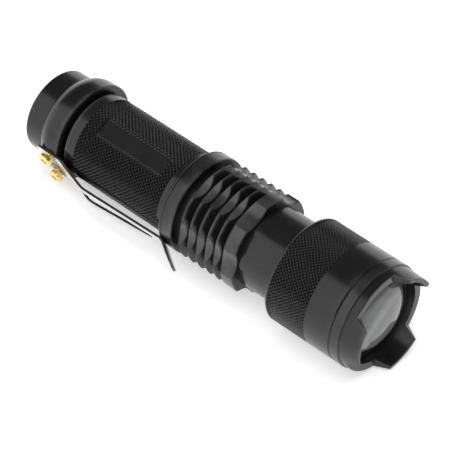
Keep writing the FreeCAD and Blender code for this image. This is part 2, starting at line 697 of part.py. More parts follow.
def main():
    """Build every node, report it and write its STEP file."""
    os.makedirs("parts", exist_ok=True)
    shapes = {name: make() for name, make in NODES.items()}
    shapes["tail_seal"] = tube_seal(True)
    shapes["front_seal"] = tube_seal(False)
    shapes["wire_positive"] = lead_wire(1)
    shapes["wire_negative"] = lead_wire(-1)
    for name, shape in shapes.items():
        print(name, "valid" if shape.isValid() else "INVALID", len(shape.Solids), round(shape.Volume, 2))
        shape.exportStep("parts/" + name + ".step")


main()
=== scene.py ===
"""Looks of the pocket zoom torch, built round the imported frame.

Frame: +X runs along the torch's axis from the tail to the head, +Z is up, and the
origin is the centre of the tail face. Blender works in metres. Shapes here are
worked out in millimetres and scaled by MM when a mesh is made. A bearing is an
angle about +X in degrees, measured from +Y towards +Z.
"""

import logging
import math
from dataclasses import dataclass, field
from enum import Enum

import bpy
import numpy as np
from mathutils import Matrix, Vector


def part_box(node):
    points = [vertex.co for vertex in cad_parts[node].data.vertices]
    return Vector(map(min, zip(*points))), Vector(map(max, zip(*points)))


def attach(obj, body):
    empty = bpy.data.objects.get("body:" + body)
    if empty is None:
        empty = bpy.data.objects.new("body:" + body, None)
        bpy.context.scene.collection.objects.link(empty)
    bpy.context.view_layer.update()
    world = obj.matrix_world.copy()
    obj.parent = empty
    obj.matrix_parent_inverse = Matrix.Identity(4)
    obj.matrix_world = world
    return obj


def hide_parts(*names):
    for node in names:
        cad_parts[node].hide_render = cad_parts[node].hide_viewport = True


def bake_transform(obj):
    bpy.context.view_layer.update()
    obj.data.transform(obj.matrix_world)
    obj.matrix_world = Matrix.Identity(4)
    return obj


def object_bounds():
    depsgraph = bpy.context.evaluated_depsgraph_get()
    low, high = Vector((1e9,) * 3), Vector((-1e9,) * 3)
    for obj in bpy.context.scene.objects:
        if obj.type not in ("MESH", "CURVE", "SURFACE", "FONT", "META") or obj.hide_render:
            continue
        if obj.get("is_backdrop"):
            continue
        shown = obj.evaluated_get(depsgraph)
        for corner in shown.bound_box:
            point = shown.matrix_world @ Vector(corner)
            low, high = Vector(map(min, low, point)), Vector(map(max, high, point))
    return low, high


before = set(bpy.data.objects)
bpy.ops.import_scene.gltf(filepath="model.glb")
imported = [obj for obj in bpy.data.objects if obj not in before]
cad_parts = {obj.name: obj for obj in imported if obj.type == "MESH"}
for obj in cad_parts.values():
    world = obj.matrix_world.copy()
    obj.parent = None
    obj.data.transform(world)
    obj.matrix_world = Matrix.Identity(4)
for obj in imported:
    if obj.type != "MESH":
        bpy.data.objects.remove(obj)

LOG = logging.getLogger("torch")
MM = 0.001
SHARP_ANGLE = math.radians(28.0)
WEAR_ATTRIBUTE = "wear"
NOISE_RANGE = (0.3, 0.7)     # where most of a noise texture's values lie
FINE_DETAIL = 3.0
BROAD_DETAIL = 4.0
LEAST_SLANT = 0.5           # a flat reaches no further than this cosine from its middle

Colour = tuple[float, float, float]
Values = float | np.ndarray


# ---- finishes -------------------------------------------------------------------
class Grain(Enum):
    """How a finish's fine texture is drawn out along X, Y and Z."""

    EVEN = (1.0, 1.0, 1.0)
    TURNED = (1.0, 0.05, 0.05)
    LENGTHWISE = (0.03, 1.0, 1.0)


class Graph:
    """A material's node tree, with short calls to add and join nodes."""

    def __init__(self, owner: bpy.types.Material | bpy.types.World) -> None:
        """Start an empty node tree.

        Args:
            owner: the material or world that the tree belongs to.
        """
        owner.use_nodes = True
        self.owner = owner
        self.tree = owner.node_tree
        self.tree.nodes.clear()

    def add(self, kind: str, settings: dict | None = None, **sockets: object) -> bpy.types.Node:
        """Add a node, set its options and fill or link its sockets.

        Args:
            kind: the node's type name without its ShaderNode prefix.
            settings: the node's own options.
            **sockets: a value or another node's output for each input, by the
                input's name with spaces as underscores.

        Returns:
            The new node.
        """
        node = self.tree.nodes.new("ShaderNode" + kind)
        for option, value in (settings or {}).items():
            setattr(node, option, value)
        for key, value in sockets.items():
            self.fill(node.inputs[key.replace("_", " ")], value)
        return node

    def fill(self, socket: bpy.types.NodeSocket, value: object) -> None:
        """Give a socket its value, or link another node's output to it.

        Args:
            socket: the input to fill.
            value: a number, a tuple or an output socket.
        """
        if isinstance(value, bpy.types.NodeSocket):
            self.tree.links.new(value, socket)
        else:
            socket.default_value = value

    def mix(self, share: object, first: object, second: object) -> bpy.types.NodeSocket:
        """Blend two colours.

        Args:
            share: how much of the second colour shows, from 0 to 1.
            first: the colour at 0.
            second: the colour at 1.

        Returns:
            The blended colour's socket.
        """
        node = self.tree.nodes.new("ShaderNodeMix")
        node.data_type = "RGBA"
        for socket, value in ((node.inputs[0], share), (node.inputs[6], first), (node.inputs[7], second)):
            self.fill(socket, value)
        return node.outputs[2]

    def scaled(self, value: object, low: float, high: float) -> bpy.types.NodeSocket:
        """Carry a noise's middle range onto the range from low to high."""
        start, end = NOISE_RANGE
        return self.add("MapRange", Value=value, From_Min=start, From_Max=end, To_Min=low,
                        To_Max=high).outputs["Result"]

    def ramp(self, value: object, start: float, end: float) -> bpy.types.NodeSocket:
        """Rise smoothly from 0 to 1 as a value passes from start to end."""
        return self.add("MapRange", {"interpolation_type": "SMOOTHSTEP"}, Value=value, From_Min=start,
                        From_Max=end, To_Min=0.0, To_Max=1.0).outputs["Result"]

    def noise(self, place: object, scale: float, detail: float) -> bpy.types.NodeSocket:
        """Add a noise texture and give its value's socket."""
        return self.add("TexNoise", Vector=place, Scale=scale, Detail=detail).outputs[0]

    def maths(self, operation: str, *values: object) -> bpy.types.NodeSocket:
        """Work out one sum on numbers or sockets.

        Args:
            operation: the Math node's operation.
            *values: its operands.

        Returns:
            The result's socket.
        """
        node = self.tree.nodes.new("ShaderNodeMath")
        node.operation = operation
        for socket, value in zip(node.inputs, values):
            self.fill(socket, value)
        return node.outputs[0]


@dataclass(frozen=True)
class Finish:
    """A solid finish with fine grain, broad patches and worn edges."""

    slot: str
    base: Colour
    tint: Colour
    metallic: float = 0.0
    roughness: float = 0.4
    spread: float = 0.06
    ior: float = 1.5
    grain: Grain = Grain.EVEN
    grain_per_metre: float = 5000.0
    patch_per_metre: float = 160.0
    relief: float = 6e-6
    relief_strength: float = 0.35
    worn: Colour = (0.2, 0.2, 0.2)
    wear: float = 0.0
    wear_sharpness: float = 8.0
    sheen: float = 0.0

    def material(self) -> bpy.types.Material:
        """Build the material, or return the one already built.

        Returns:
            The finish's material.
        """
        name = f"{self.slot}_{self.grain.name.lower()}"
        if name in bpy.data.materials:
            return bpy.data.materials[name]
        graph = Graph(bpy.data.materials.new(name))
        place = graph.add("TexCoord").outputs["Object"]
        drawn = graph.add("Mapping", Vector=place, Scale=self.grain.value).outputs["Vector"]
        fine = graph.noise(drawn, self.grain_per_metre, FINE_DETAIL)
        broad = graph.noise(place, self.patch_per_metre, BROAD_DETAIL)
        mean = graph.maths("MULTIPLY", graph.maths("ADD", fine, broad), 0.5)
        colour = graph.mix(graph.scaled(mean, 0.0, 1.0), (*self.base, 1.0), (*self.tint, 1.0))
        rough = graph.scaled(mean, self.roughness - self.spread, self.roughness + self.spread)
        if self.wear > 0.0:
            edge = graph.add("Attribute", {"attribute_name": WEAR_ATTRIBUTE}).outputs["Fac"]
            edge = graph.maths("POWER", edge, self.wear_sharpness)
            broken = graph.maths("MULTIPLY", edge, graph.scaled(broad, 0.0, self.wear))
            colour = graph.mix(broken, colour, (*self.worn, 1.0))
        bump = graph.add("Bump", Strength=self.relief_strength, Distance=self.relief, Height=fine)
        shader = graph.add("BsdfPrincipled", Base_Color=colour, Roughness=rough,
                           Metallic=self.metallic, IOR=self.ior, Normal=bump.outputs["Normal"],
                           Sheen_Weight=self.sheen)
        graph.add("OutputMaterial", Surface=shader.outputs["BSDF"])
        return graph.owner


@dataclass(frozen=True)
class ClearFinish:
    """A clear moulded finish with a faint haze and fine polishing marks."""

    slot: str
    tint: Colour
    roughness: float = 0.02
    haze: float = 0.01
    clearness: float = 1.0
    ior: float = 1.49
    patch_per_metre: float = 220.0
    patch_share: float = 0.97

    def material(self) -> bpy.types.Material:
        """Build the material, or return the one already built.

        Returns:
            The finish's material.
        """
        name = f"{self.slot}_clear"
        if name in bpy.data.materials:
            return bpy.data.materials[name]
        graph = Graph(bpy.data.materials.new(name))
        place = graph.add("TexCoord").outputs["Object"]
        broad = graph.noise(place, self.patch_per_metre, FINE_DETAIL)
        patch = (*(self.patch_share * channel for channel in self.tint), 1.0)
        colour = graph.mix(graph.scaled(broad, 0.0, 1.0), (*self.tint, 1.0), patch)
        rough = graph.scaled(broad, self.roughness, self.roughness + self.haze)
        shader = graph.add("BsdfPrincipled", Base_Color=colour, Roughness=rough, IOR=self.ior,
                           Transmission_Weight=self.clearness)
        graph.add("OutputMaterial", Surface=shader.outputs["BSDF"])
        return graph.owner


ANODISED = Finish("anodised_black", (0.004, 0.004, 0.0043), (0.007, 0.007, 0.0074), roughness=0.23,
                  spread=0.03, ior=1.45, grain=Grain.TURNED, grain_per_metre=3600.0, relief=3e-6,
                  worn=(0.09, 0.09, 0.093), wear=0.6)
ANODISED_EVEN = Finish("anodised_black", (0.006, 0.006, 0.0063), (0.011, 0.011, 0.0114), roughness=0.24,
                       spread=0.03, ior=1.45, worn=(0.16, 0.16, 0.165), wear=0.7)
ANODISED_SLID = Finish("anodised_black", (0.004, 0.004, 0.0043), (0.009, 0.009, 0.0094), roughness=0.22,
                       spread=0.07, ior=1.45, grain=Grain.LENGTHWISE, grain_per_metre=2600.0, relief=5e-6)
CLIP_STEEL = Finish("clip_steel", (0.62, 0.62, 0.63), (0.74, 0.74, 0.75), metallic=1.0, roughness=0.3,
                    spread=0.07, grain=Grain.LENGTHWISE, grain_per_metre=4200.0, relief=5e-6,
                    worn=(0.85, 0.85, 0.86), wear=0.5)
# Painted shade: the clip's own steel made far darker for its cut edges, standing in for the shade along the
# sheet's edges
CLIP_EDGE_PAINTED_SHADE = Finish("clip_steel", (0.07, 0.07, 0.072), (0.12, 0.12, 0.122), metallic=1.0, roughness=0.3,
                   spread=0.05, grain_per_metre=3000.0)
SCREW_BRASS = Finish("screw_brass", (0.86, 0.58, 0.2), (0.93, 0.68, 0.28), metallic=1.0, roughness=0.24,
                     spread=0.08, grain_per_metre=2600.0)
BOOT_RUBBER = Finish("boot_rubber", (0.012, 0.012, 0.012), (0.02, 0.02, 0.02), roughness=0.62, spread=0.08,
                     relief=1.5e-5, sheen=0.15)
SEAL_RUBBER = Finish("seal_rubber", (0.01, 0.01, 0.01), (0.018, 0.018, 0.018), roughness=0.5, relief=1e-5)
ALUMINIUM = Finish("bare_aluminium", (0.62, 0.63, 0.65), (0.74, 0.75, 0.77), metallic=1.0, roughness=0.32,
                   grain=Grain.TURNED, grain_per_metre=3000.0)
BLACK_PLASTIC = Finish("black_plastic", (0.015, 0.015, 0.016), (0.024, 0.024, 0.025), roughness=0.45)
WHITE_PLASTIC = Finish("white_plastic", (0.74, 0.74, 0.72), (0.82, 0.82, 0.8), roughness=0.4)
LAMINATE = Finish("board_laminate", (0.02, 0.13, 0.05), (0.03, 0.19, 0.08), roughness=0.35,
                  grain_per_metre=1800.0)
STAR_BOARD = Finish("star_board", (0.66, 0.66, 0.64), (0.78, 0.78, 0.76), roughness=0.38)
CERAMIC = Finish("white_ceramic", (0.78, 0.78, 0.75), (0.86, 0.86, 0.83), roughness=0.3)
SPRING_STEEL = Finish("spring_steel", (0.6, 0.58, 0.52), (0.7, 0.68, 0.62), metallic=1.0, roughness=0.3)
CELL_SLEEVE = Finish("cell_sleeve", (0.02, 0.1, 0.36), (0.03, 0.14, 0.45), roughness=0.28)
RED_WIRE = Finish("wire_red", (0.5, 0.02, 0.015), (0.6, 0.04, 0.03), roughness=0.4)
BLACK_WIRE = Finish("wire_black", (0.014, 0.014, 0.014), (0.022, 0.022, 0.022), roughness=0.4)
LENS_CLEAR = ClearFinish("lens_clear", (0.34, 0.345, 0.345), roughness=0.03, clearness=0.6)
LED_SILICONE = Finish("led_silicone", (0.75, 0.55, 0.08), (0.85, 0.66, 0.14), roughness=0.25)


# ---- meshes ---------------------------------------------------------------------
@dataclass
class Row:
    """One ring of a turned surface: its station and radius may differ by bearing."""

    station: Values
    radius: Values
    wear: float = 0.0


class Split(Enum):
    """How a grid cell is divided into faces."""

    WHOLE = 0
    RISING = 1
    FALLING = 2


def mesh_from_faces(name: str, points: np.ndarray, faces: list[np.ndarray]) -> bpy.types.Object:
    """Make a mesh object from points in millimetres and arrays of faces.

    Args:
        name: the piece's name.
        points: an (n, 3) array.
        faces: arrays of point numbers, one row a face, one array for each face size.

    Returns:
        The new object, smooth except across sharp edges.
    """
    mesh = bpy.data.meshes.new(name)
    corners = np.concatenate([block.ravel() for block in faces]).astype(np.int32)
    sizes = np.concatenate([np.full(len(block), block.shape[1]) for block in faces])
    starts = np.concatenate([[0], np.cumsum(sizes)[:-1]]).astype(np.int32)
    mesh.vertices.add(len(points))
    mesh.vertices.foreach_set("co", (points * MM).astype(np.float32).ravel())
    mesh.loops.add(len(corners))
    mesh.loops.foreach_set("vertex_index", corners)
    mesh.polygons.add(len(sizes))
    mesh.polygons.foreach_set("loop_start", starts)
    mesh.update(calc_edges=True)
    mesh.validate()
    mesh.shade_smooth()
    mesh.set_sharp_from_angle(angle=SHARP_ANGLE)
    piece = bpy.data.objects.new(name, mesh)
    bpy.context.scene.collection.objects.link(piece)
    return piece


def weigh_normals(piece: bpy.types.Object) -> None:
    """Let a piece's larger faces set the shading, so that narrow chamfers carry the turn of each edge."""
    weigh = piece.modifiers.new("shading", "WEIGHTED_NORMAL")
    weigh.keep_sharp = True


def outward(points: np.ndarray, faces: list[np.ndarray]) -> list[np.ndarray]:
    """Wind faces so that they point out of the solid they close.

    The signed volume is the sum of a dot (b cross c) over the fans of all faces,
    and a negative sum means that every face is turned round.

    Args:
        points: an (n, 3) array.
        faces: arrays of point numbers.

    Returns:
        The faces, all turned round if they pointed inwards.
    """
    volume = 0.0
    for block in faces:
        first = points[block[:, 0]]
        for corner in range(1, block.shape[1] - 1):
            cross = np.cross(points[block[:, corner]], points[block[:, corner + 1]])
            volume += float((first * cross).sum())
    return [block[:, ::-1] for block in faces] if volume < 0.0 else faces


def turned(name: str, rows: list[Row], bearings: np.ndarray,
           split: np.ndarray | None = None) -> bpy.types.Object:
    """Make a closed turned piece from a loop of rings.

    A point at ring i and bearing j is (station, radius cos bearing, radius sin
    bearing). Cells join ring to ring and bearing to bearing, both going round. A
    ring of zero radius is one point, and the cells beside it are triangles.

    Args:
        name: the piece's name.
        rows: the rings in order round the section. The last one joins the first,
            unless both are poles.
        bearings: the bearings in degrees, shared by all rings or one row for each.
        split: how each cell is divided, one row of values from Split for each ring.

    Returns:
        The new object, with a wear attribute.
    """
    angle = np.radians(np.broadcast_to(bearings, (len(rows), np.shape(bearings)[-1])))
    count = angle.shape[1]
    station = np.array([np.broadcast_to(row.station, count) for row in rows], float)
    radius = np.array([np.broadcast_to(row.radius, count) for row in rows], float)
    wear = np.repeat([row.wear for row in rows], count)
    points = np.stack([station, radius * np.cos(angle), radius * np.sin(angle)], axis=-1).reshape(-1, 3)
    index = np.arange(len(rows) * count).reshape(len(rows), count)
    poles = np.all(radius == 0.0, axis=1)
    index[poles] = index[poles][:, :1]
    ends_open = bool(poles[0] and poles[-1])
    here = index[:-1] if ends_open else index
    ahead = index[1:] if ends_open else np.roll(index, -1, axis=0)
    cells = np.stack([here, np.roll(here, -1, axis=1), np.roll(ahead, -1, axis=1), ahead], axis=-1)
    rising = np.zeros(cells.shape[:2], bool) if split is None else split == Split.RISING.value
    falling = np.zeros(cells.shape[:2], bool) if split is None else split == Split.FALLING.value
    low = np.repeat((poles if not ends_open else poles[:-1])[:, None], count, axis=1)
    high = np.repeat((np.roll(poles, -1) if not ends_open else poles[1:])[:, None], count, axis=1)
    whole = ~(rising | falling | low | high)
    triangles = [cells[rising][:, [0, 1, 2]], cells[rising][:, [0, 2, 3]], cells[falling][:, [0, 1, 3]],
                 cells[falling][:, [1, 2, 3]], cells[low][:, [0, 2, 3]], cells[high][:, [0, 1, 2]]]
    faces = outward(points, [cells[whole], np.concatenate(triangles)])
    used, compact = np.unique(np.concatenate([block.ravel() for block in faces]), return_inverse=True)
    sizes = [block.size for block in faces]
    blocks = np.split(compact, np.cumsum(sizes)[:-1])
    faces = [part.reshape(block.shape) for part, block in zip(blocks, faces)]
    piece = mesh_from_faces(name, points[used], [block for block in faces if len(block)])
    attribute = piece.data.attributes.new(WEAR_ATTRIBUTE, "FLOAT", "POINT")
    attribute.data.foreach_set("value", wear[used].astype(np.float32))
    weigh_normals(piece)
    return piece


def around(count: int) -> np.ndarray:
    """A number of evenly spaced bearings, from 0 degrees on."""
    return np.arange(count) * 360.0 / count


def repeated(run: np.ndarray, first: float, count: int) -> np.ndarray:
    """A run of bearings about 0, repeated evenly round the axis from the first bearing on."""
    return np.concatenate([first + number * 360.0 / count + run for number in range(count)])


def from_nearest(bearings: np.ndarray, first: float, count: int) -> np.ndarray:
    """Signed angle of each bearing from the nearest of a count of evenly spaced ones."""
    step = 360.0 / count
    return (bearings - first + step / 2.0) % step - step / 2.0


def flat_limit(distance: float, angle: np.ndarray) -> np.ndarray:
    """Largest radius behind a flat, which is distance / cos(angle from the flat's middle)."""
    slant = np.cos(np.radians(angle))
    return np.where(slant > LEAST_SLANT, distance / np.maximum(slant, LEAST_SLANT), np.inf)


def corner(centre: tuple[float, float], radius: float, start: float, end: float, steps: int = 6,
           wear: float = 0.0) -> list[Row]:
    """Rings that round a turned edge with an arc, whose angles are in degrees from +X outwards."""
    angles = np.radians(np.linspace(start, end, steps + 1))
    return [Row(centre[0] + radius * math.cos(a), centre[1] + radius * math.sin(a), wear) for a in angles]


def triangle_wave(value: np.ndarray) -> np.ndarray:
    """A wave that rises from 0 to 1 and falls back over each whole number."""
    return 1.0 - np.abs(2.0 * (value % 1.0) - 1.0)


def outer_radius(node: str) -> float:
    """Largest distance of a round CAD node from the axis, in millimetres."""
    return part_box(node)[1].z / MM


def reach(node: str) -> tuple[float, float]:
    """First and last station of a CAD node, in millimetres."""
    low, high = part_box(node)
    return low.x / MM, high.x / MM


def dress(piece: bpy.types.Object, *finishes: Finish | ClearFinish) -> bpy.types.Object:
    """Give a piece its materials.

    Args:
        piece: the object.
        *finishes: its finishes, in the order of its faces' material numbers.

    Returns:
        The same object.
    """
    piece.data.materials.clear()
    for finish in finishes:
        piece.data.materials.append(finish.material())
    return piece


def settle(piece: bpy.types.Object, body: str, *nodes: str) -> None:
    """Make a new piece ride on its body and stand for its CAD nodes, and report it.

    Args:
        piece: the object.
        body: the CAD body it moves with.
        *nodes: the CAD nodes it replaces.
    """
    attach(piece, body)
    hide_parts(*nodes)
    LOG.info("%s: %d faces, rides on %s", piece.name, len(piece.data.polygons), body)


@dataclass
class Knurl:
    """A band of crossed grooves that leave flat-topped diamonds.

    Two families of grooves run at opposite slopes, u = x/pitch + n bearing/360 and
    v = x/pitch - n bearing/360. The height is the lower of the two triangle waves,
    cut off at the diamonds' flat tops and scaled to run from 0 to 1.
    """

    start: float
    end: float
    around_count: int
    pitch: float
    depth: float
    top_share: float = 2.0 / 3.0
    samples: int = 6

    def bearings(self) -> np.ndarray:
        """The bearings at which the grid follows the grooves."""
        return around(self.around_count * self.samples)

    def stations(self) -> np.ndarray:
        """The stations at which the grid follows the grooves."""
        count = int((self.end - self.start) / self.pitch * self.samples)
        return self.start + np.arange(count + 1) * self.pitch / self.samples

    def waves(self, station: Values, bearings: np.ndarray) -> tuple[np.ndarray, np.ndarray]:
        """The two triangle waves at given places.

        Args:
            station: stations in millimetres.
            bearings: bearings in degrees.

        Returns:
            The wave of each family of grooves.
        """
        along = (station - self.start) / self.pitch
        across = bearings * self.around_count / 360.0
        return triangle_wave(along + across), triangle_wave(along - across)

    def radius(self, crest: float, station: float, bearings: np.ndarray) -> np.ndarray:
        """Radius of the knurled surface round one ring.

        Args:
            crest: the radius of the diamonds' tops.
            station: the ring's station.
            bearings: the bearings in degrees.

        Returns:
            One radius for each bearing.
        """
        rising, falling = self.waves(station, bearings)
        height = np.minimum(np.minimum(rising, falling), self.top_share) / self.top_share
        return crest - self.depth * (1.0 - height)

    def split(self, station: float, step: float, bearings: np.ndarray) -> np.ndarray:
        """How the cells after one ring are divided, so that edges follow the grooves.

        Args:
            station: the ring's station.
            step: the distance to the next ring.
            bearings: the bearings in degrees.

        Returns:
            One value from Split for each bearing.
        """
        half_turn = 180.0 / (self.around_count * self.samples)
        rising, falling = self.waves(station + step / 2.0, bearings + half_turn)
        return np.where(rising < falling, Split.FALLING.value, Split.RISING.value)


# ---- tail -----------------------------------------------------------------------
@dataclass
class TailCap:
    """Tail ring and clip flange, with the milled flat that the clip sits on."""

    bore: float = 5.3
    edge: float = 0.9
    ring_radius: float = 10.5
    step: float = 5.65
    rear_radius: float = 11.0
    full_station: float = 9.4
    chamfer: float = 0.25
    thread_radius: float = 8.7
    cavity_radius: float = 7.6
    board_step: float = 7.0
    wall: float = 1.4
    flat_bearing: float = 202.0
    flat_distance: float = 11.6
    bore_edge: float = 0.2
    groove_lip: float = 0.2
    groove_half: float = 0.1
    groove_depth: float = 0.3
    flare_rows: int = 9
    flat_columns: int = 24
    round_columns: int = 156
    least_half: float = 6.0

    def rows(self) -> list[Row]:
        """Rings of the cap's section, from the rear bore forwards and back inside."""
        end, crest = reach("tail_cap")[1], outer_radius("tail_cap")
        groove = self.ring_radius - self.groove_depth
        start = self.step + self.groove_lip
        flare = []
        for share in np.linspace(0.0, 1.0, self.flare_rows):
            rise = 1.0 - (1.0 - share) ** 2
            station = start + share * (self.full_station - start)
            flare.append(Row(station, self.rear_radius + rise * (crest - self.rear_radius)))
        return [
            Row(0.0, self.bore + self.bore_edge),
            *corner((self.edge, self.ring_radius - self.edge), self.edge, 180, 90),
            Row(self.step - self.groove_lip, self.ring_radius, 0.6),
            Row(self.step - self.groove_half, groove), Row(self.step + self.groove_half, groove), *flare,
            Row(end - self.chamfer, crest, 1.0), Row(end, crest - self.chamfer, 1.0),
            Row(end, self.thread_radius + self.bore_edge), Row(end - self.bore_edge, self.thread_radius),
            Row(self.board_step, self.thread_radius), Row(self.board_step, self.cavity_radius),
            Row(self.wall, self.cavity_radius), Row(self.wall, self.bore), Row(self.bore_edge, self.bore)]

    def bearings(self, radius: float) -> np.ndarray:
        """Bearings of one ring, gathered so that two of them lie on the flat's edges.

        Args:
            radius: the ring's radius.

        Returns:
            The bearings in degrees.
        """
        half = math.degrees(math.acos(min(1.0, self.flat_distance / radius)))
        half = max(half, self.least_half)
        flat = np.linspace(-half, half, self.flat_columns + 1)
        rest = np.linspace(half, 360.0 - half, self.round_columns + 1)[1:-1]
        return self.flat_bearing + np.concatenate([flat, rest])

    def build(self) -> bpy.types.Object:
        """Make the cap, cutting each ring outside the groove to the flat.

        Returns:
            The finished piece.
        """
        rows = self.rows()
        bearings = np.array([self.bearings(float(row.radius)) for row in rows])
        for row, ring in zip(rows, bearings):
            if row.station >= self.step + self.groove_lip:
                row.radius = np.minimum(row.radius, flat_limit(self.flat_distance, ring - self.flat_bearing))
        return dress(turned("tail_cap_skin", rows, bearings), ANODISED)


@dataclass
class SwitchBoot:
    """Rubber push boot: a ribbed dome that moves and the rim that holds it."""

    face_radius: float = 2.9
    corner_radius: float = 2.0
    skirt: float = 2.9
    skirt_edge: float = 0.1
    skirt_radius: float = 4.95
    skirt_foot: float = 4.9
    skirt_inside: float = 4.2
    inner_start: tuple[float, float] = (2.3, 4.1)
    inner_face: float = 1.15
    inner_face_radius: float = 2.6
    inner_corner: float = 1.2
    lip_radius: float = 5.05
    lip_rows: int = 9
    rib_pitch: float = 0.97
    rib_depth: float = 0.1
    face_rows: int = 24
    columns: int = 96

    def build_dome(self) -> bpy.types.Object:
        """Make the dome, with ring ribs where a thumb presses.

        The face sinks by half the rib depth times 1 - cos(2 pi r / pitch).

        Returns:
            The finished piece.
        """
        start = reach("switch_boot")[0]
        rows = [Row(start, 0.0)]
        for radius in np.linspace(0.0, self.face_radius, self.face_rows + 1)[1:]:
            sink = 0.5 * self.rib_depth * (1.0 - math.cos(2.0 * math.pi * radius / self.rib_pitch))
            rows.append(Row(start + sink, radius))
        rows += corner((start + self.corner_radius, self.face_radius), self.corner_radius, 172, 100, 8)
        rows += [Row(self.skirt - self.skirt_edge, self.skirt_radius), Row(self.skirt, self.skirt_foot)]
        rows += [Row(self.skirt, self.skirt_inside), Row(*self.inner_start)]
        rows += corner((start + self.corner_radius, self.inner_face_radius), self.inner_corner, 100, 180)
        rows.append(Row(self.inner_face, 0.0))
        return dress(turned("switch_boot_dome", rows, around(self.columns)), BOOT_RUBBER)

    def build_rim(self) -> bpy.types.Object:
        """Make the clamped rim with a rounded inner lip.

        Returns:
            The finished piece.
        """
        start, end = reach("boot_flange")
        outside = outer_radius("boot_flange")
        lip = (end - start) / 2.0
        middle, centre = (start + end) / 2.0, self.lip_radius + lip
        rows = [Row(end, outside), Row(start, outside), Row(start, centre)]
        for angle in np.radians(np.linspace(180.0, 0.0, self.lip_rows)):
            rows.append(Row(middle - lip * math.cos(math.pi - angle), centre - lip * math.sin(angle)))
        return dress(turned("switch_boot_rim", rows, around(self.columns)), BOOT_RUBBER)


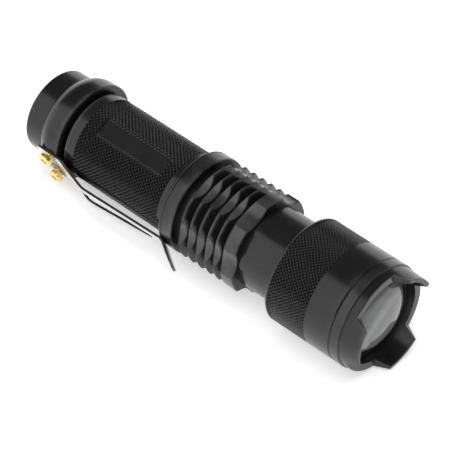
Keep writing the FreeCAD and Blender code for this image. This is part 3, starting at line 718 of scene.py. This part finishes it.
@dataclass
class PocketClip:
    """Spring clip: one bent strip with a long tapering window and a flared tip."""

    bearing: float = 202.0
    sheet: float = 0.6
    seat: float = 11.6
    bends: tuple[tuple[float, float, float], ...] = (
        (13.6, 11.6, 4.0), (22.6, 14.05, 6.0), (46.4, 13.05, 3.0))
    first: tuple[float, float] = (6.3, 11.6)
    last: tuple[float, float] = (53.0, 17.0)
    widths: tuple[tuple[float, float], ...] = (
        (6.3, 5.9), (12.2, 5.9), (16.0, 4.5), (24.0, 4.0), (46.4, 2.2), (52.9, 1.9))
    window: tuple[tuple[float, float], ...] = ((21.4, 1.9), (24.5, 2.0), (42.5, 0.6), (43.2, 0.3))
    rear_round: float = 1.0
    tip_round: float = 1.7
    tip_half: float = 0.2
    inner_share: float = 0.8
    bend_rows: int = 9
    edge_round: float = 0.08
    edge_angle: float = 50.0
    blend_start: float = 12.6
    blend_end: float = 13.6

    def path(self) -> np.ndarray:
        """Points of the inner face's line, with an arc at each bend.

        Returns:
            An (n, 2) array of stations and distances.
        """
        corners = [self.first, *[bend[:2] for bend in self.bends], self.last]
        points = [np.array(self.first)]
        for number, (x, y, radius) in enumerate(self.bends, start=1):
            here = np.array((x, y))
            before = np.array(corners[number - 1]) - here
            after = np.array(corners[number + 1]) - here
            before /= np.linalg.norm(before)
            after /= np.linalg.norm(after)
            half = math.acos(float(np.clip(before @ after, -1.0, 1.0))) / 2.0
            middle = (before + after) / np.linalg.norm(before + after)
            centre = here + middle * radius / math.sin(half)
            start = here + before * radius / math.tan(half) - centre
            end = here + after * radius / math.tan(half) - centre
            first = math.atan2(start[1], start[0])
            sweep = (math.atan2(end[1], end[0]) - first + math.pi) % (2.0 * math.pi) - math.pi
            turn = first + sweep * np.linspace(0.0, 1.0, self.bend_rows)
            points += list(centre + radius * np.stack([np.cos(turn), np.sin(turn)], axis=-1))
        points.append(np.array(self.last))
        return np.array(points)

    def half_width(self, station: np.ndarray) -> np.ndarray:
        """Half width of the strip, rounded at its rear corners and at its tip.

        Each end narrows as a quarter circle does: by radius (1 - sqrt(1 - t t)),
        where t runs from 0 to 1 over the last radius of the strip.

        Args:
            station: stations in millimetres.

        Returns:
            One half width for each station.
        """
        xs, ws = np.array(self.widths).T
        width = np.interp(station, xs, ws)
        rear = np.clip((self.first[0] + self.rear_round - station) / self.rear_round, 0.0, 1.0)
        front = np.clip((station - (self.last[0] - self.tip_round)) / self.tip_round, 0.0, 1.0)
        width = width - self.rear_round * (1.0 - np.sqrt(1.0 - rear * rear))
        return width - (self.tip_round - self.tip_half) * (1.0 - np.sqrt(1.0 - front * front))

    def build(self) -> bpy.types.Object:
        """Make the inner face as a grid with its window left open, and thicken it.

        Returns:
            The finished piece.
        """
        path = self.path()
        xs, ws = np.array(self.window).T
        rear_turn, tip_turn = np.radians(np.arange(15, 91, 15)), np.radians(np.arange(0, 90, 12))
        rear_corner = self.first[0] + self.rear_round * (1.0 - np.cos(rear_turn))
        tip_corner = self.last[0] - self.tip_round * (1.0 - np.sin(tip_turn))
        between = np.arange(8.0, 52.0, 2.0)
        extra = np.concatenate([rear_corner, tip_corner, xs, between])
        station = np.unique(np.round(np.concatenate([path[:, 0], extra]), 4))
        distance = np.interp(station, path[:, 0], path[:, 1])
        half = self.half_width(station)
        inner = np.minimum(np.interp(station, xs, ws), self.inner_share * half)
        mid = (half + inner) / 2.0
        across = np.stack([-half, -mid, -inner, inner, mid, half], axis=-1)
        turn = math.radians(self.bearing)
        along = np.broadcast_to(station[:, None], across.shape)
        out = np.broadcast_to(distance[:, None], across.shape)
        y = out * math.cos(turn) - across * math.sin(turn)
        z = out * math.sin(turn) + across * math.cos(turn)
        points = np.stack([along, y, z], axis=-1).reshape(-1, 3)
        index = np.arange(len(points)).reshape(across.shape)
        cells = np.stack([index[:-1, :-1], index[1:, :-1], index[1:, 1:], index[:-1, 1:]], axis=-1)
        keep = np.ones(cells.shape[:2], bool)
        middle = (station[:-1] + station[1:]) / 2.0
        keep[:, 2] = (middle < xs[0]) | (middle > xs[-1])
        strip = mesh_from_faces("pocket_clip", points, [cells[keep]])
        wall = strip.modifiers.new("sheet", "SOLIDIFY")
        wall.thickness = self.sheet * MM
        wall.offset = 1.0
        wall.use_even_offset = True
        # The rim faces take the second material, the dark painted shade on the cut edges
        wall.material_offset_rim = 1
        edges = strip.modifiers.new("edges", "BEVEL")
        edges.width = self.edge_round * MM
        edges.segments = 2
        edges.limit_method = "ANGLE"
        edges.angle_limit = math.radians(self.edge_angle)
        weigh_normals(strip)
        # The second finish is the painted shade on the sheet's cut edges
        return dress(strip, CLIP_STEEL, CLIP_EDGE_PAINTED_SHADE)


@dataclass
class Tail:
    """The screwed tail end: cap, boot and clip."""

    cap: TailCap = field(default_factory=TailCap)
    boot: SwitchBoot = field(default_factory=SwitchBoot)
    clip: PocketClip = field(default_factory=PocketClip)

    def build(self) -> None:
        """Make the tail's pieces and set the cap and the boot on their bodies; the clip is set on none."""
        settle(self.cap.build(), "tail", "tail_cap")
        settle(self.boot.build_dome(), "button", "switch_boot")
        settle(self.boot.build_rim(), "tail", "boot_flange")
        strip = self.clip.build()
        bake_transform(strip)
        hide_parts("clip_base", "clip_arm")
        LOG.info("pocket_clip: %d faces, bends from tail to clip", len(strip.data.polygons))


# ---- barrel ---------------------------------------------------------------------
@dataclass
class BatteryTube:
    """Knurled grip tube with two milled flats and a screwed nose at each end."""

    shoulder: float = 13.2
    front: float = 45.2
    bore: float = 7.3
    nose: float = 8.62
    seal_floor: float = 7.81
    seal_width: float = 1.1
    rear_seal: float = 11.9
    front_seal: float = 46.2
    thread_pitch: float = 0.8
    thread_depth: float = 0.3
    thread_gap: float = 0.2
    thread_runout: float = 0.3
    thread_rows: int = 8
    shoulder_bevel: tuple[float, float] = (0.3, 0.4)
    panel_bearings: tuple[float, float] = (113.5, 293.5)
    panel_start: float = 19.7
    panel_end: float = 40.2
    panel_distance: float = 10.13
    wall_run: float = 0.03
    knurl: Knurl = field(default_factory=lambda: Knurl(16.3, 43.3, 62, 1.1, 0.42, 0.8))

    def thread(self, start: float, end: float, bearings: np.ndarray) -> list[Row]:
        """Rings of a screw thread: a triangle wave of station / pitch - bearing / 360."""
        stations = np.linspace(start, end, int((end - start) / self.thread_pitch * self.thread_rows) + 1)
        phases = bearings / 360.0
        return [Row(x, self.nose - self.thread_depth * triangle_wave(x / self.thread_pitch - phases))
                for x in stations]

    def flats(self, radius: np.ndarray, bearings: np.ndarray) -> np.ndarray:
        """Cut a ring to the two milled flats.

        Args:
            radius: the ring's radii.
            bearings: its bearings in degrees.

        Returns:
            The cut radii.
        """
        for panel in self.panel_bearings:
            radius = np.minimum(radius, flat_limit(self.panel_distance, bearings - panel))
        return radius

    def grip(self, bearings: np.ndarray) -> tuple[list[Row], list[np.ndarray]]:
        """Rings of the knurled stretch and how the cells after each are divided.

        Args:
            bearings: the bearings in degrees.

        Returns:
            The rings and the divisions.
        """
        crest = outer_radius("battery_tube")
        edges = (self.panel_start, self.panel_end)
        walls = [edge + side * self.wall_run for edge in edges for side in (-1, 1)]
        stations = np.unique(np.concatenate([self.knurl.stations(), walls]))
        rows, splits = [], []
        for station, ahead in zip(stations, np.append(stations[1:], stations[-1] + self.wall_run)):
            radius = self.knurl.radius(crest, station, bearings)
            if self.panel_start < station < self.panel_end:
                radius = self.flats(radius, bearings)
            rows.append(Row(station, radius))
            splits.append(self.knurl.split(station, ahead - station, bearings))
        return rows, splits

    def build(self) -> bpy.types.Object:
        """Make the tube.

        Returns:
            The finished piece.
        """
        rear, tip = reach("battery_tube")
        crest = outer_radius("battery_tube")
        bearings = self.knurl.bearings()
        rear_floor = self.rear_seal - self.seal_width
        front_end = self.front_seal + self.seal_width
        bevel_run, bevel_drop = self.shoulder_bevel
        before = [
            Row(rear, self.bore), Row(rear, self.nose - self.thread_depth),
            *self.thread(rear + self.thread_gap, rear_floor - self.thread_runout, bearings),
            Row(rear_floor - self.thread_gap, self.nose), Row(rear_floor, self.nose),
            Row(rear_floor, self.seal_floor), Row(self.rear_seal, self.seal_floor),
            Row(self.rear_seal, self.nose), Row(self.shoulder, self.nose),
            Row(self.shoulder, crest - bevel_drop, 1.0), Row(self.shoulder + bevel_run, crest, 1.0),
            Row(self.knurl.start - self.wall_run, crest)]
        grip, splits = self.grip(bearings)
        after = [
            Row(grip[-1].station + self.wall_run, crest), Row(self.front, crest), Row(self.front, self.nose),
            Row(self.front_seal, self.nose), Row(self.front_seal, self.seal_floor),
            Row(front_end, self.seal_floor), Row(front_end, self.nose),
            *self.thread(front_end + self.thread_gap, tip - self.thread_gap, bearings),
            Row(tip, self.nose - self.thread_depth), Row(tip, self.bore)]
        rows = before + grip + after
        plain = np.full(len(bearings), Split.WHOLE.value)
        split = np.array([plain] * len(before) + splits + [plain] * len(after))
        return dress(turned("battery_tube_skin", rows, bearings, split), ANODISED_EVEN)


@dataclass
class HeatsinkBody:
    """Collar, scalloped cooling fins, wide rib and the neck that the head slides on."""

    thread_radius: float = 8.7
    collar_end: float = 49.3
    groove: float = 46.15
    root_radius: float = 10.6
    fin_first: float = 51.8
    fin_pitch: float = 2.65
    fin_count: int = 5
    tip_half: float = 0.15
    root_half: float = 0.1
    rib_start: float = 64.7
    rib_end: float = 68.1
    edge: float = 0.07
    edge_run: float = 0.6
    rim_bevel: float = 0.3
    line_half: float = 0.1
    line_depth: float = 0.12
    small_edge: float = 0.2
    rib_skirt: float = 0.5
    neck_radius: float = 10.35
    neck_inside: float = 8.6
    pill_bore: float = 8.1
    driver_step: float = 66.5
    cell_bore: float = 7.3
    nose_step: float = 50.3
    scallop_count: int = 6
    scallop_bearing: float = 50.0
    scallop_floor: float = 11.0
    tool_radius: float = 6.9
    scallop_columns: int = 22
    scallop_lip: float = 0.35
    land_columns: int = 18

    def scallop_half(self, crest: float) -> float:
        """Half the angle, in degrees, that a scallop takes out of a crest of that radius."""
        centre = self.scallop_floor + self.tool_radius
        cosine = (centre**2 + crest**2 - self.tool_radius**2) / (2.0 * centre * crest)
        return math.degrees(math.acos(cosine))

    def bearings(self, crest: float) -> np.ndarray:
        """Bearings gathered so that every scallop's two edges lie on the grid.

        Args:
            crest: the crest's radius.

        Returns:
            The bearings in degrees.
        """
        half = self.scallop_half(crest)
        lip = half + self.scallop_lip
        cut = np.linspace(-half, half, self.scallop_columns + 1)
        land = np.linspace(lip, 360.0 / self.scallop_count - half - self.scallop_lip, self.land_columns + 1)
        return repeated(np.concatenate([cut, land]), self.scallop_bearing, self.scallop_count)

    def crest(self, crest: float, bearings: np.ndarray) -> np.ndarray:
        """Radius of the scalloped crests.

        In a scallop it is D cos a - sqrt(t t - D D sin a sin a), the near side of a
        tool of radius t whose centre is D from the axis, at an angle a from it.

        Args:
            crest: the full radius between the scallops.
            bearings: the bearings in degrees.

        Returns:
            One radius for each bearing.
        """
        offset = from_nearest(bearings, self.scallop_bearing, self.scallop_count)
        centre = self.scallop_floor + self.tool_radius
        away = np.radians(offset)
        inside = np.maximum(self.tool_radius**2 - (centre * np.sin(away)) ** 2, 0.0)
        cut = centre * np.cos(away) - np.sqrt(inside)
        return np.where(np.abs(offset) <= self.scallop_half(crest), np.minimum(cut, crest), crest)

    def fin(self, middle: float, roots: tuple[float, float], full: float, crest: np.ndarray) -> list[Row]:
        """Rings over one fin: straight flanks from its roots, cut off at the crest.

        Args:
            middle: the station of the fin's tip.
            roots: the stations where its flanks leave the root.
            full: the crest's full radius.
            crest: the crest's radius at each bearing.

        Returns:
            The rings.
        """
        height = full - self.root_radius
        rear = (middle - self.tip_half - roots[0]) / height
        front = (roots[1] - middle - self.tip_half) / height
        low = crest - self.edge
        run = self.edge_run * self.edge
        return [
            Row(roots[0], self.root_radius),
            Row(middle - self.tip_half - (full - low) * rear, low, 1.0),
            Row(middle - self.tip_half - (full - crest) * rear + run, crest, 1.0),
            Row(middle + self.tip_half + (full - crest) * front - run, crest, 1.0),
            Row(middle + self.tip_half + (full - low) * front, low, 1.0),
            Row(roots[1], self.root_radius)]

    def rib(self, root: float, full: float, crest: np.ndarray) -> list[Row]:
        """Rings over the front rib: a slanted rear flank, its crest and a square front face.

        Args:
            root: the station where its rear flank leaves the root.
            full: the crest's full radius.
            crest: the crest's radius at each bearing.

        Returns:
            The rings.
        """
        slope = (self.rib_start - root) / (full - self.root_radius)
        start = self.rib_start - (full - crest) * slope
        return [
            Row(root, self.root_radius), Row(start - self.edge * slope, crest - self.edge, 1.0),
            Row(start + self.edge_run * self.edge, crest, 1.0),
            Row(self.rib_end - self.small_edge, crest, 1.0), Row(self.rib_end, crest - self.small_edge, 1.0),
            Row(self.rib_end, crest - self.rib_skirt)]

    def build(self) -> bpy.types.Object:
        """Make the body, with its neck's faces in the slid finish.

        Returns:
            The finished piece.
        """
        rear, front = reach("heatsink_body")
        full = outer_radius("heatsink_body")
        bearings = self.bearings(full)
        crest = self.crest(full, bearings)
        rows = [
            Row(rear, self.thread_radius), Row(rear, full - self.rim_bevel, 1.0),
            Row(rear + self.rim_bevel, full, 1.0), Row(self.groove - self.line_half, full, 0.8),
            Row(self.groove, full - self.line_depth), Row(self.groove + self.line_half, full, 0.8),
            Row(self.collar_end - self.small_edge, full, 1.0),
            Row(self.collar_end, full - self.small_edge, 1.0),
            Row(self.collar_end + self.root_half, self.root_radius)]
        half_pitch = self.fin_pitch / 2.0
        for number in range(self.fin_count):
            middle = self.fin_first + number * self.fin_pitch
            last = number == self.fin_count - 1
            gap = (middle + self.rib_start) / 2.0 if last else middle + half_pitch
            roots = (middle - half_pitch + self.root_half, gap - self.root_half)
            rows += self.fin(middle, roots, full, crest)
        rows += self.rib(gap + self.root_half, full, crest)
        neck_start = rows[-1].station
        rows += [
            Row(self.rib_end, self.neck_radius), Row(front - self.small_edge, self.neck_radius, 0.6),
            Row(front, self.neck_radius - self.small_edge), Row(front, self.pill_bore),
            Row(self.driver_step, self.pill_bore), Row(self.driver_step, self.cell_bore),
            Row(self.nose_step, self.cell_bore), Row(self.nose_step, self.thread_radius)]
        body = dress(turned("heatsink_body_skin", rows, bearings), ANODISED, ANODISED_SLID)
        centres = np.zeros(len(body.data.polygons) * 3, np.float32)
        body.data.polygons.foreach_get("center", centres)
        centres = centres.reshape(-1, 3) / MM
        height = np.hypot(centres[:, 1], centres[:, 2])
        on_neck = (centres[:, 0] > neck_start) & (height > self.neck_inside)
        body.data.polygons.foreach_set("material_index", on_neck.astype(np.int32))
        return body


@dataclass
class Barrel:
    """Everything that stays with the hand: grip tube and finned body."""

    tube: BatteryTube = field(default_factory=BatteryTube)
    body: HeatsinkBody = field(default_factory=HeatsinkBody)

    def build(self) -> None:
        """Make the barrel's pieces and set them on their body."""
        settle(self.tube.build(), "barrel", "battery_tube")
        settle(self.body.build(), "barrel", "heatsink_body")


# ---- head -----------------------------------------------------------------------
@dataclass
class HeadSleeve:
    """Focusing sleeve: knurled at the rear and plain at the front."""

    neck_bore: float = 10.6
    edge: float = 1.0
    chamfer: float = 0.3
    wall_run: float = 0.03
    thread_radius: float = 12.1
    thread_start: float = 94.6
    bore: float = 11.5
    ring_step: float = 80.45
    ring_floor: float = 79.2
    ring_radius: float = 12.05
    knurl: Knurl = field(default_factory=lambda: Knurl(79.35, 90.2, 84, 1.0, 0.28, 0.75))

    def build(self) -> bpy.types.Object:
        """Make the sleeve.

        Returns:
            The finished piece.
        """
        rear, front = reach("head_sleeve")
        crest = outer_radius("head_sleeve")
        bearings = self.knurl.bearings()
        before = [
            Row(rear, self.neck_bore),
            *corner((rear + self.edge, crest - self.edge), self.edge, 180, 90, wear=0.5),
            Row(self.knurl.start - self.wall_run, crest)]
        stations = self.knurl.stations()
        step = self.knurl.pitch / self.knurl.samples
        grip = [Row(station, self.knurl.radius(crest, station, bearings)) for station in stations]
        splits = [self.knurl.split(station, step, bearings) for station in stations]
        splits[-1] = np.full(len(bearings), Split.WHOLE.value)
        after = [
            Row(grip[-1].station + self.wall_run, crest), Row(front - self.chamfer, crest, 0.9),
            Row(front, crest - self.chamfer, 0.9), Row(front, self.thread_radius),
            Row(self.thread_start, self.thread_radius), Row(self.thread_start, self.bore),
            Row(self.ring_step, self.bore), Row(self.ring_step, self.ring_radius),
            Row(self.ring_floor, self.ring_radius), Row(self.ring_floor, self.neck_bore)]
        plain = np.full(len(bearings), Split.WHOLE.value)
        split = np.array([plain] * len(before) + splits + [plain] * len(after))
        return dress(turned("head_sleeve_skin", before + grip + after, bearings, split), ANODISED)


@dataclass
class Bezel:
    """Crown that holds the lens, with three flat-topped teeth."""

    tooth_count: int = 3
    tooth_bearing: float = 47.5
    tip_half: float = 21.5
    root_half: float = 29.5
    valley: float = 102.2
    step: float = 100.2
    step_radius: float = 12.95
    tip_radius: float = 12.7
    lip: float = 10.3
    lip_station: float = 100.1
    cone_start: float = 100.4
    cone_radius: float = 10.4
    cone_tip_radius: float = 11.8
    lens_bore: float = 10.85
    thread_radius: float = 12.02
    seam: float = 97.5
    seam_bevel: float = 0.25
    step_run: float = 0.12
    shelf_drop: float = 0.35
    edge: float = 0.16

    def bearings(self) -> np.ndarray:
        """Bearings that include every tooth's four break angles."""
        step = 360.0 / self.tooth_count
        top = np.linspace(-self.tip_half, self.tip_half, 25)
        side = np.linspace(self.tip_half, self.root_half, 6)[1:]
        floor = np.linspace(self.root_half, step - self.root_half, 33)[1:]
        back = np.linspace(step - self.root_half, step - self.tip_half, 6)[1:-1]
        return repeated(np.concatenate([top, side, floor, back]), self.tooth_bearing, self.tooth_count)

    def rim(self, tip: float, bearings: np.ndarray) -> np.ndarray:
        """Stations of the rim, which ramps from the tip on each tooth to the valley between teeth."""
        offset = np.abs(from_nearest(bearings, self.tooth_bearing, self.tooth_count))
        return np.interp(offset, [self.tip_half, self.root_half], [tip, self.valley])

    def build(self) -> bpy.types.Object:
        """Make the crown.

        Returns:
            The finished piece.
        """
        rear, tip = reach("bezel")
        full = outer_radius("bezel")
        bearings = self.bearings()
        rim = self.rim(tip, bearings)

        def outside(station: Values) -> Values:
            """Radius of the crown's outer cone."""
            fall = self.tip_radius - self.step_radius
            return self.step_radius + (station - self.step) * fall / (tip - self.step)

        def inside(station: Values) -> Values:
            """Radius of the crown's inner cone."""
            rise = (self.cone_tip_radius - self.cone_radius) / (tip - self.cone_start)
            return self.cone_radius + (station - self.cone_start) * rise

        shelf = self.valley - self.shelf_drop
        half_edge = self.edge / 2.0
        rows = [
            Row(rear, self.lens_bore), Row(rear, self.thread_radius), Row(self.seam, self.thread_radius),
            Row(self.seam, full - self.seam_bevel, 0.9), Row(self.seam + self.seam_bevel, full, 0.9),
            Row(self.step - self.step_run, full, 0.9), Row(self.step, self.step_radius, 0.5),
            Row(shelf, outside(shelf)), Row(rim - self.edge, outside(rim - self.edge), 1.0),
            Row(rim, outside(rim) - self.edge, 1.0), Row(rim, inside(rim) + half_edge, 0.8),
            Row(rim - half_edge, inside(rim - half_edge), 0.8), Row(shelf, inside(shelf)),
            Row(self.cone_start, self.cone_radius), Row(self.lip_station, self.lip),
            Row(self.lip_station, self.lens_bore)]
        return dress(turned("bezel_crown", rows, bearings), ANODISED)


@dataclass
class Lens:
    """Convex focusing lens: a flat rim and an elliptical dome."""

    shoulder: float = 99.3
    dome_radius: float = 9.3
    rim_edge: float = 0.15
    dome_rows: int = 30
    columns: int = 128

    def build(self) -> bpy.types.Object:
        """Make the lens: over the dome, station and radius follow the sine and cosine of one angle.

        Returns:
            The finished piece.
        """
        back, front = reach("lens")
        outside = outer_radius("lens")
        height = front - self.shoulder
        rows = [Row(back, 0.0), Row(back, outside - self.rim_edge), Row(back + self.rim_edge, outside)]
        rows += [Row(self.shoulder - self.rim_edge, outside), Row(self.shoulder, outside - self.rim_edge)]
        for angle in np.linspace(0.0, math.pi / 2.0, self.dome_rows + 1)[:-1]:
            rows.append(Row(self.shoulder + height * math.sin(angle), self.dome_radius * math.cos(angle)))
        rows.append(Row(front, 0.0))
        return dress(turned("lens_dome", rows, around(self.columns)), LENS_CLEAR)


@dataclass
class Head:
    """The sliding head: sleeve, crown and lens."""

    sleeve: HeadSleeve = field(default_factory=HeadSleeve)
    crown: Bezel = field(default_factory=Bezel)
    lens: Lens = field(default_factory=Lens)

    def build(self) -> None:
        """Make the head's pieces and set them on their body."""
        settle(self.sleeve.build(), "head", "head_sleeve")
        settle(self.crown.build(), "head", "bezel")
        settle(self.lens.build(), "head", "lens")


# ---- pieces whose CAD shape stays -------------------------------------------------
@dataclass
class Workings:
    """Fasteners, seals and inner pieces that keep their CAD shape and get a finish."""

    finishes: dict[str, Finish] = field(default_factory=lambda: {
        "clip_screws": SCREW_BRASS, "switch_ring": ALUMINIUM, "switch_housing": BLACK_PLASTIC,
        "switch_plunger": WHITE_PLASTIC, "switch_board": LAMINATE, "tail_spring": SPRING_STEEL,
        "battery_cell": CELL_SLEEVE, "battery_washer": WHITE_PLASTIC, "battery_cap": SPRING_STEEL,
        "driver_board": LAMINATE, "driver_spring": SPRING_STEEL, "driver_chip": BLACK_PLASTIC,
        "driver_coil": BLACK_PLASTIC, "led_pill": ALUMINIUM, "pill_seal": SEAL_RUBBER,
        "led_star": STAR_BOARD, "led_package": CERAMIC, "led_dome": LED_SILICONE,
        "led_collar": WHITE_PLASTIC, "head_stop_ring": SPRING_STEEL, "lens_seal": SEAL_RUBBER,
        "lens_ring": ALUMINIUM, "tail_seal": SEAL_RUBBER, "front_seal": SEAL_RUBBER,
        "wire_positive": RED_WIRE, "wire_negative": BLACK_WIRE})

    def build(self) -> None:
        """Give every remaining CAD node its finish."""
        for name, finish in self.finishes.items():
            dress(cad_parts[name], finish)
            LOG.info("%s: CAD shape in %s", name, finish.slot)


# ---- studio ---------------------------------------------------------------------
@dataclass
class Studio:
    """Camera, pale floor and soft surround."""

    azimuth: float = 42.55
    elevation: float = 45.26
    aim: tuple[float, float, float] = (0.05428, 0.00048, -0.00289)
    distance: float = 0.6072
    focal_length: float = 211.2
    floor_half: float = 3.0
    floor_white: float = 0.9
    floor_patch: float = 0.985
    floor_roughness: float = 0.9
    floor_glow: float = 0.45
    floor_grain_per_metre: float = 900.0
    surround: float = 1.5
    ceiling: float = 0.17
    ceiling_from: float = 0.18
    ceiling_to: float = 0.34
    wall_lean: float = 0.36
    ahead_from: float = 0.45
    ahead_to: float = 0.8
    wall_blur: float = 0.025
    fill_power: float = 6.5
    fill_size: float = 1.0
    fill_place: tuple[float, float, float] = (0.1, 0.15, 0.9)

    def camera(self) -> None:
        """Set the camera on a line of azimuth and elevation from the point it looks at."""
        turn, rise = math.radians(self.azimuth), math.radians(self.elevation)
        back = Vector((math.sin(turn) * math.cos(rise), -math.cos(turn) * math.cos(rise), math.sin(rise)))
        lens = bpy.data.cameras.new("camera")
        lens.lens = self.focal_length
        lens.clip_start = 0.01
        holder = bpy.data.objects.new("camera", lens)
        holder.location = Vector(self.aim) + back * self.distance
        holder.rotation_mode = "QUATERNION"
        holder.rotation_quaternion = (-back).to_track_quat("-Z", "Y")
        bpy.context.scene.collection.objects.link(holder)
        bpy.context.scene.camera = holder

    def floor(self, height: float) -> None:
        """Lay the floor at the torch's lowest point.

        Args:
            height: the floor's height in metres.
        """
        half = self.floor_half
        corners = np.array([(-half, -half), (half, -half), (half, half), (-half, half)]) / MM
        points = np.column_stack([corners, np.full(4, height / MM)])
        sheet = mesh_from_faces("floor", points, [np.array([[0, 1, 2, 3]])])
        graph = Graph(bpy.data.materials.new("floor_paper"))
        place = graph.add("TexCoord").outputs["Object"]
        grain = graph.noise(place, self.floor_grain_per_metre, 2.0)
        white, patch = (self.floor_white,) * 3, (self.floor_patch * self.floor_white,) * 3
        colour = graph.mix(graph.scaled(grain, 0.0, 1.0), (*white, 1.0), (*patch, 1.0))
        shader = graph.add("BsdfPrincipled", Base_Color=colour, Roughness=self.floor_roughness,
                           Emission_Color=colour, Emission_Strength=self.floor_glow)
        graph.add("OutputMaterial", Surface=shader.outputs["BSDF"])
        sheet.data.materials.append(graph.owner)
        sheet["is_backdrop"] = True

    def surroundings(self) -> None:
        """Light the studio: dark above and towards +X, bright towards -Y and at the horizon."""
        world = bpy.data.worlds.new("studio")
        bpy.context.scene.world = world
        graph = Graph(world)
        way = graph.add("SeparateXYZ", Vector=graph.add("TexCoord").outputs["Generated"])
        above = graph.ramp(way.outputs["Z"], self.ceiling_from, self.ceiling_to)
        lean = graph.maths("MULTIPLY_ADD", way.outputs["Z"], self.wall_lean, way.outputs["Y"])
        behind = graph.ramp(lean, -self.wall_blur, self.wall_blur)
        ahead = graph.ramp(way.outputs["X"], self.ahead_from, self.ahead_to)
        dark = graph.maths("MAXIMUM", graph.maths("MULTIPLY", above, behind), ahead)
        level = graph.maths("MULTIPLY_ADD", dark, self.ceiling - self.surround, self.surround)
        shade = graph.add("Background", Color=(1.0, 1.0, 1.0, 1.0), Strength=level)
        graph.add("OutputWorld", Surface=shade.outputs["Background"])

    def fill(self) -> None:
        """Hang a large soft light over the torch that brightens the floor and isn't mirrored."""
        lamp = bpy.data.lights.new("overhead_fill", "AREA")
        lamp.shape = "SQUARE"
        lamp.size = self.fill_size
        lamp.energy = self.fill_power
        holder = bpy.data.objects.new("overhead_fill", lamp)
        holder.location = self.fill_place
        holder.rotation_mode = "QUATERNION"
        holder.rotation_quaternion = Vector((0.0, 0.0, -1.0)).to_track_quat("-Z", "Y")
        holder.visible_glossy = False
        holder.visible_transmission = False
        bpy.context.scene.collection.objects.link(holder)

    def build(self, low: Vector) -> None:
        """Set up the whole studio.

        Args:
            low: the torch's lowest corner.
        """
        bpy.context.scene.view_settings.view_transform = "Standard"
        self.camera()
        self.floor(low.z)
        self.surroundings()
        self.fill()


def main() -> None:
    """Build the torch piece by piece in its studio."""
    logging.basicConfig(level=logging.INFO, format="%(name)s %(message)s")
    cad_low, cad_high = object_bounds()
    Studio().build(cad_low)
    Tail().build()
    Barrel().build()
    Head().build()
    Workings().build()


if __name__ == "__main__":
    main()
